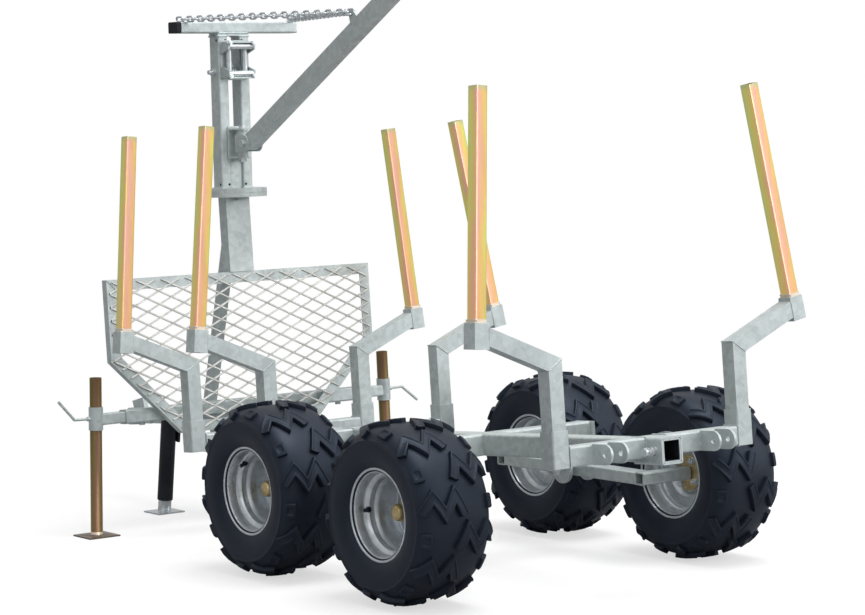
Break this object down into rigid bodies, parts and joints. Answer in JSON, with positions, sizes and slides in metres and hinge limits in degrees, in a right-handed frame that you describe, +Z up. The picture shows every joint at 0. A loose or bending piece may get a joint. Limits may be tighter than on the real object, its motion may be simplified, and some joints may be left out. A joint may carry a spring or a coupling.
{
  "type": "forestry trailer with crane",
  "caption": "Steel log trailer for an ATV: rocking tandem wheels, three bunks with stakes, mesh headboard, slewing mast with a chain-stayed boom and a roller fairlead, two outriggers and a prop stand.",
  "frame": {"origin": "on the ground, under the middle of the overall length", "axes": "+X forward to the tow coupling, +Y left, +Z up"},
  "size_m": [3.1158, 1.5424, 2.3422],
  "materials": {
    "galvanised_steel": "bright zinc plate, matt",
    "galvanised_mesh": "zinc plate",
    "zinc_rim": "bright zinc plate",
    "bright_zinc": "bright zinc plate",
    "yellow_chromate_tube": "yellow chromate over zinc, iridescent",
    "yellow_zinc_hub": "yellow chromate over zinc",
    "tyre_rubber": "moulded rubber",
    "black_plastic": "moulded",
    "black_paint": "satin black"
  },
  "bodies": {
    "frame": {"bogie_cross_tube": "galvanised_steel", "crane_lower_mast": "galvanised_steel", "crane_strut": "galvanised_steel", "drawbar": "galvanised_steel", "front_bunk_arms": "galvanised_steel", "front_bunk_beam": "galvanised_steel", "front_stakes": "yellow_chromate_tube", "hanger_plates": "galvanised_steel", "headboard_frame": "galvanised_steel", "headboard_mesh": "galvanised_mesh", "main_beam": "galvanised_steel", "middle_bunk_arms": "galvanised_steel", "middle_bunk_beam": "galvanised_steel", "middle_stakes": "yellow_chromate_tube", "outrigger_carrier": "galvanised_steel", "pivot_bolts": "bright_zinc", "prop_bolt": "bright_zinc", "prop_bracket": "galvanised_steel", "rear_bunk_arms": "galvanised_steel", "rear_bunk_beam": "galvanised_steel", "rear_lugs": "galvanised_steel", "rear_stakes": "yellow_chromate_tube", "slew_base": "galvanised_steel", "tow_coupling": "galvanised_steel"},
    "walking_beam_left_body": {"walking_beam_left": "galvanised_steel"},
    "walking_beam_right_body": {"walking_beam_right": "galvanised_steel"},
    "wheel_front_left": {"tyre_front_left": "tyre_rubber", "rim_front_left": "zinc_rim", "hub_front_left": "yellow_zinc_hub"},
    "wheel_front_right": {"tyre_front_right": "tyre_rubber", "rim_front_right": "zinc_rim", "hub_front_right": "yellow_zinc_hub"},
    "wheel_rear_left": {"tyre_rear_left": "tyre_rubber", "rim_rear_left": "zinc_rim", "hub_rear_left": "yellow_zinc_hub"},
    "wheel_rear_right": {"tyre_rear_right": "tyre_rubber", "rim_rear_right": "zinc_rim", "hub_rear_right": "yellow_zinc_hub"},
    "upper_crane": {"crane_upper_mast": "galvanised_steel", "top_beam": "galvanised_steel", "top_beam_cap": "black_plastic", "hinge_bracket": "galvanised_steel", "boom_knuckle": "galvanised_steel", "hinge_bolts": "bright_zinc", "fairlead_frame": "galvanised_steel", "fairlead_rollers": "bright_zinc", "mast_pulley_bolt": "bright_zinc", "stay_chain_left": "bright_zinc", "stay_chain_right": "bright_zinc"},
    "boom_body": {"boom": "galvanised_steel", "sheave_pin": "bright_zinc", "chain_shackle": "bright_zinc"},
    "sheave_body": {"boom_sheave": "bright_zinc"},
    "pulley_body": {"mast_pulley": "bright_zinc"},
    "arm_body_left": {"outrigger_arm_left": "galvanised_steel"},
    "leg_body_left": {"outrigger_leg_left": "yellow_chromate_tube"},
    "arm_body_right": {"outrigger_arm_right": "galvanised_steel"},
    "leg_body_right": {"outrigger_leg_right": "yellow_chromate_tube"},
    "prop_tube_body": {"prop_tube": "black_paint"},
    "prop_leg_body": {"prop_leg": "bright_zinc"}
  },
  "joints": [
    {"name": "bogie_rock_left", "type": "hinge", "parent": "frame", "child": "walking_beam_left_body", "pos_m": [-0.666, 0.363, 0.276], "axis": [0, 1, 0], "range_deg": [-11.3, 18.7]},
    {"name": "wheel_spin_front_left", "type": "hinge", "parent": "walking_beam_left_body", "child": "wheel_front_left", "pos_m": [-0.316, 0.573, 0.276], "axis": [0, 1, 0], "continuous": true},
    {"name": "wheel_spin_rear_left", "type": "hinge", "parent": "walking_beam_left_body", "child": "wheel_rear_left", "pos_m": [-1.016, 0.573, 0.276], "axis": [0, 1, 0], "continuous": true},
    {"name": "bogie_rock_right", "type": "hinge", "parent": "frame", "child": "walking_beam_right_body", "pos_m": [-0.666, -0.363, 0.276], "axis": [0, 1, 0], "range_deg": [-11.3, 18.7]},
    {"name": "wheel_spin_front_right", "type": "hinge", "parent": "walking_beam_right_body", "child": "wheel_front_right", "pos_m": [-0.316, -0.573, 0.276], "axis": [0, 1, 0], "continuous": true},
    {"name": "wheel_spin_rear_right", "type": "hinge", "parent": "walking_beam_right_body", "child": "wheel_rear_right", "pos_m": [-1.016, -0.573, 0.276], "axis": [0, 1, 0], "continuous": true},
    {"name": "crane_slew", "type": "hinge", "parent": "frame", "child": "upper_crane", "pos_m": [0.784, 0, 1.177], "axis": [0, 0, 1], "range_deg": [-180, 180]},
    {"name": "boom_luff", "type": "hinge", "parent": "upper_crane", "child": "boom_body", "pos_m": [0.66, 0, 1.353], "axis": [0, 1, 0], "range_deg": [0, 50], "deforming": ["stay_chain_left", "stay_chain_right"]},
    {"name": "sheave_spin", "type": "hinge", "parent": "boom_body", "child": "sheave_body", "pos_m": [-1.05591, 0, 2.30023], "axis": [0, 1, 0], "continuous": true},
    {"name": "mast_pulley_spin", "type": "hinge", "parent": "upper_crane", "child": "pulley_body", "pos_m": [0.784, 0, 1.608], "axis": [0, 1, 0], "continuous": true},
    {"name": "outrigger_slide_left", "type": "slide", "parent": "frame", "child": "arm_body_left", "axis": [0, 1, 0], "range_m": [-0.03, 0.3]},
    {"name": "leg_slide_left", "type": "slide", "parent": "arm_body_left", "child": "leg_body_left", "axis": [0, -0.0297, 0.9996], "range_m": [-0.09, 0.3]},
    {"name": "outrigger_slide_right", "type": "slide", "parent": "frame", "child": "arm_body_right", "axis": [0, -1, 0], "range_m": [-0.058, 0.272]},
    {"name": "leg_slide_right", "type": "slide", "parent": "arm_body_right", "child": "leg_body_right", "axis": [0, 0.0297, 0.9996], "range_m": [-0.09, 0.3]},
    {"name": "prop_swing", "type": "hinge", "parent": "frame", "child": "prop_tube_body", "pos_m": [1.022, 0.16, 0.336], "axis": [0, -1, 0], "range_deg": [0, 80]},
    {"name": "prop_slide", "type": "slide", "parent": "prop_tube_body", "child": "prop_leg_body", "axis": [0.1547, 0, -0.988], "range_m": [-0.025, 0.18]}
  ]
}
